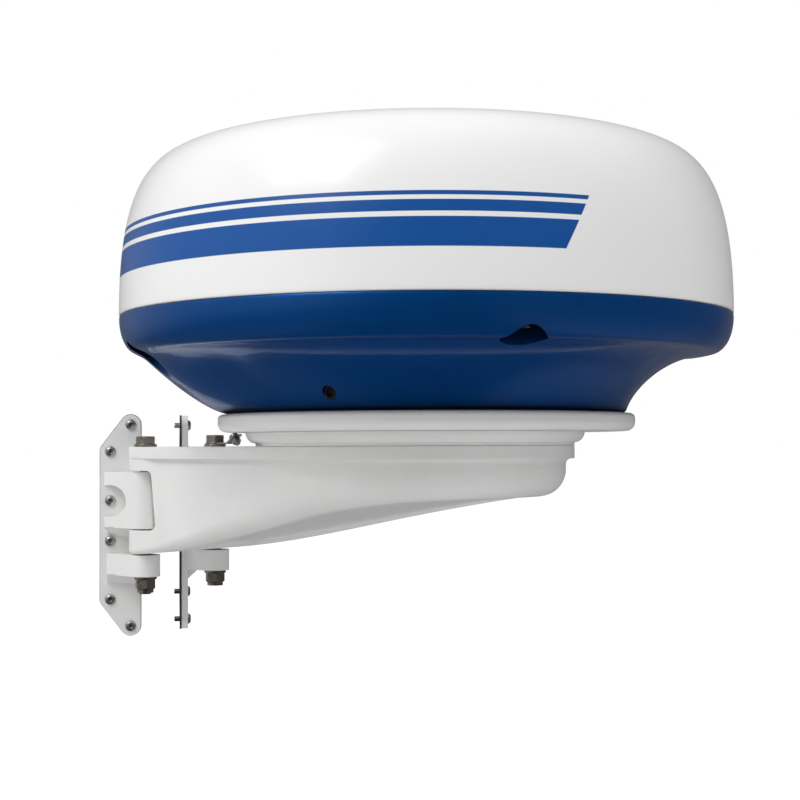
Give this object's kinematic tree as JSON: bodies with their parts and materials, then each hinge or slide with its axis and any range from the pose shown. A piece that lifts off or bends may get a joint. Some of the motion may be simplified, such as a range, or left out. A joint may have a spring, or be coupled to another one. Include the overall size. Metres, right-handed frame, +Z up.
{
  "type": "radar dome antenna",
  "caption": "Enclosed marine radar scanner: white rounded dome over a blue flared base, carried on a round plate by a cantilever arm with hinged mast feet.",
  "frame": {"origin": "axis of the mast, level with the top face of the arm", "axes": "+X along the arm from the mast to the radome, +Z up the mast, near foot on the -Y side"},
  "size_m": [0.5678, 0.4884, 0.4072],
  "materials": {
    "white_casting": "semi-gloss white powder coat",
    "dome_white": "polished white gel coat",
    "base_blue": "glossy blue moulding",
    "stainless": "bead-rolled stainless, lightly weathered",
    "rubber_black": "matte black",
    "isolator": "thin matte isolating sheet",
    "bush_plastic": "moulded, satin",
    "nylon_blue": "nylon locking ring",
    "nylon_white": "moulded gear nylon",
    "brass": "machined",
    "bare_aluminium": "machined, satin",
    "motor_black": "satin black",
    "board_green": "solder mask with parts",
    "cover_cream": "radar-clear moulding",
    "magnet_grey": "nickel plated",
    "zinc": "zinc plated"
  },
  "bodies": {
    "bracket_and_base": {"arm_casting": "white_casting", "riser_pad": "white_casting", "platform_plate": "white_casting", "platform_screws": "stainless", "hinge_bolts": "stainless", "hinge_washers": "stainless", "hinge_nuts": "stainless", "nut_inserts": "nylon_blue", "bonding_tab": "stainless", "bonding_screw": "stainless", "lower_radome": "base_blue", "base_gasket": "rubber_black", "radome_bolts": "stainless", "radome_bolt_washers": "stainless", "seam_gasket": "rubber_black", "dome_bolts": "stainless", "dome_bolt_washers": "stainless", "breather_plug": "rubber_black", "cable_gland": "bush_plastic", "gland_nut": "bush_plastic", "gland_seal": "rubber_black", "power_data_cable": "rubber_black", "chassis_plate": "bare_aluminium", "chassis_screws": "zinc", "bearing_housing": "bare_aluminium", "bearing_outer_rings": "zinc", "bearing_balls": "magnet_grey", "motor_body": "motor_black", "motor_screws": "zinc", "rotary_joint_stator": "brass", "transceiver_case": "bare_aluminium", "transceiver_lid": "bare_aluminium", "lid_screws": "zinc", "power_board": "board_green", "control_board": "board_green", "board_standoffs": "brass", "reed_switch": "board_green"},
    "scanner": {"bearing_inner_rings": "zinc", "scanner_shaft": "bare_aluminium", "shaft_circlip": "zinc", "main_gear": "nylon_white", "gear_screws": "zinc", "rotary_joint_rotor": "brass", "antenna_bracket": "bare_aluminium", "antenna_tray": "bare_aluminium", "antenna_cover": "cover_cream", "antenna_screws": "zinc", "heading_magnet": "magnet_grey"},
    "motor_rotor": {"motor_shaft": "zinc", "motor_pinion": "brass"},
    "near_foot_body": {"near_foot": "white_casting", "near_foot_pad": "isolator", "near_foot_rivets": "zinc", "near_foot_bushes": "bush_plastic"},
    "far_foot_body": {"far_foot": "white_casting", "far_foot_pad": "isolator", "far_foot_rivets": "zinc", "far_foot_bushes": "bush_plastic"},
    "dome": {"upper_radome": "dome_white", "dome_inserts": "brass"}
  },
  "joints": [
    {"name": "scanner_spin", "type": "hinge", "parent": "bracket_and_base", "child": "scanner", "pos_m": [0.349, 0, 0.1], "axis": [0, 0, 1], "continuous": true},
    {"name": "motor_spin", "type": "hinge", "parent": "bracket_and_base", "child": "motor_rotor", "pos_m": [0.4241, 0, 0.1], "axis": [0, 0, 1], "continuous": true},
    {"name": "near_foot_swing", "type": "hinge", "parent": "bracket_and_base", "child": "near_foot_body", "pos_m": [0.077, -0.045, -0.05], "axis": [0, 0, 1], "range_deg": [-15, 45]},
    {"name": "far_foot_swing", "type": "hinge", "parent": "bracket_and_base", "child": "far_foot_body", "pos_m": [0.077, 0.045, -0.05], "axis": [0, 0, 1], "range_deg": [-45, 15]},
    {"name": "dome_lift", "type": "slide", "parent": "bracket_and_base", "child": "dome", "axis": [0, 0, 1], "range_m": [0, 0.2]}
  ],
  "couplings": [
    {"joint": "motor_spin", "follows": "scanner_spin", "ratio": -4}
  ]
}
